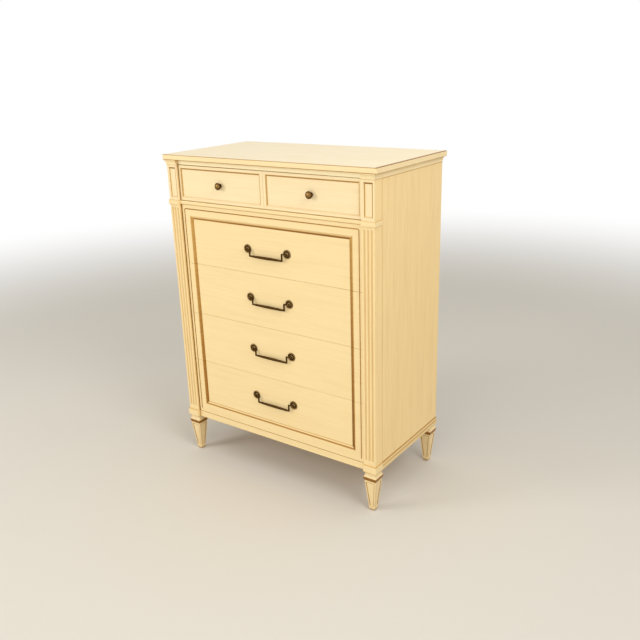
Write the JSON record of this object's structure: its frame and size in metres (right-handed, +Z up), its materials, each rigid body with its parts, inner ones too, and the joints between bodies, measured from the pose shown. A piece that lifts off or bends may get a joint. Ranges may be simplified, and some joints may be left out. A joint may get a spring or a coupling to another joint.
{
  "type": "highboy",
  "caption": "Tall painted chest on tapered legs: small knobbed drawers over full-width drawers with swinging bail pulls, between fluted corner posts.",
  "frame": {"origin": "on the floor, in the middle of the whole part's plan", "axes": "+Z up; -Y out of the front, where the drawers open; +X to the right as seen from the front"},
  "size_m": [0.9314, 0.489, 1.238],
  "materials": {
    "painted_wood": "cream lacquer with brushed brown glaze",
    "bare_wood": "clear sealed, satin",
    "back_board": "unfinished hardboard",
    "antique_brass": "antiqued, satin",
    "zinc_steel": "zinc plated"
  },
  "bodies": {
    "case": {"top_panel": "painted_wood", "cornice_left": "painted_wood", "cornice_right": "painted_wood", "side_panel_left": "painted_wood", "side_panel_right": "painted_wood", "front_post_left": "painted_wood", "front_post_right": "painted_wood", "capitals": "painted_wood", "base_blocks": "painted_wood", "top_rail": "painted_wood", "mid_rail": "painted_wood", "base_rail": "painted_wood", "rear_rail": "bare_wood", "base_moulding_left": "painted_wood", "base_moulding_right": "painted_wood", "back_panel": "back_board", "centre_divider": "bare_wood", "bottom_web_frame": "bare_wood", "web_frame_3": "bare_wood", "web_frame_2": "bare_wood", "web_frame_1": "bare_wood", "upper_web_frame": "bare_wood", "drawer_guides": "bare_wood", "corner_blocks": "bare_wood", "floor_glides": "zinc_steel", "hanger_bolts": "zinc_steel", "case_screws": "zinc_steel", "front_leg_left": "painted_wood", "front_leg_right": "painted_wood", "back_leg_left": "painted_wood", "back_leg_right": "painted_wood"},
    "large_drawer_1": {"large_drawer_1_front": "painted_wood", "large_drawer_1_box": "bare_wood", "large_drawer_1_bottom": "bare_wood", "pull_posts_1": "antique_brass"},
    "bail_1": {"bail_1": "antique_brass"},
    "large_drawer_2": {"large_drawer_2_front": "painted_wood", "large_drawer_2_box": "bare_wood", "large_drawer_2_bottom": "bare_wood", "pull_posts_2": "antique_brass"},
    "bail_2": {"bail_2": "antique_brass"},
    "large_drawer_3": {"large_drawer_3_front": "painted_wood", "large_drawer_3_box": "bare_wood", "large_drawer_3_bottom": "bare_wood", "pull_posts_3": "antique_brass"},
    "bail_3": {"bail_3": "antique_brass"},
    "large_drawer_4": {"large_drawer_4_front": "painted_wood", "large_drawer_4_box": "bare_wood", "large_drawer_4_bottom": "bare_wood", "pull_posts_4": "antique_brass"},
    "bail_4": {"bail_4": "antique_brass"},
    "small_drawer_left": {"small_drawer_left_front": "painted_wood", "small_drawer_left_box": "bare_wood", "small_drawer_left_bottom": "bare_wood", "knob_left": "antique_brass"},
    "small_drawer_right": {"small_drawer_right_front": "painted_wood", "small_drawer_right_box": "bare_wood", "small_drawer_right_bottom": "bare_wood", "knob_right": "antique_brass"}
  },
  "joints": [
    {"name": "large_drawer_1_slide", "type": "slide", "parent": "case", "child": "large_drawer_1", "axis": [0, -1, 0], "range_m": [0, 0.33]},
    {"name": "bail_1_swing", "type": "hinge", "parent": "large_drawer_1", "child": "bail_1", "pos_m": [0, -0.2325, 0.9167], "axis": [-1, 0, 0], "range_deg": [-12, 192]},
    {"name": "large_drawer_2_slide", "type": "slide", "parent": "case", "child": "large_drawer_2", "axis": [0, -1, 0], "range_m": [0, 0.33]},
    {"name": "bail_2_swing", "type": "hinge", "parent": "large_drawer_2", "child": "bail_2", "pos_m": [0, -0.2325, 0.7333], "axis": [-1, 0, 0], "range_deg": [-12, 192]},
    {"name": "large_drawer_3_slide", "type": "slide", "parent": "case", "child": "large_drawer_3", "axis": [0, -1, 0], "range_m": [0, 0.33]},
    {"name": "bail_3_swing", "type": "hinge", "parent": "large_drawer_3", "child": "bail_3", "pos_m": [0, -0.2325, 0.5303], "axis": [-1, 0, 0], "range_deg": [-12, 192]},
    {"name": "large_drawer_4_slide", "type": "slide", "parent": "case", "child": "large_drawer_4", "axis": [0, -1, 0], "range_m": [0, 0.33]},
    {"name": "bail_4_swing", "type": "hinge", "parent": "large_drawer_4", "child": "bail_4", "pos_m": [0, -0.2325, 0.3344], "axis": [-1, 0, 0], "range_deg": [-12, 192]},
    {"name": "small_drawer_left_slide", "type": "slide", "parent": "case", "child": "small_drawer_left", "axis": [0, -1, 0], "range_m": [0, 0.33]},
    {"name": "small_drawer_right_slide", "type": "slide", "parent": "case", "child": "small_drawer_right", "axis": [0, -1, 0], "range_m": [0, 0.33]}
  ]
}
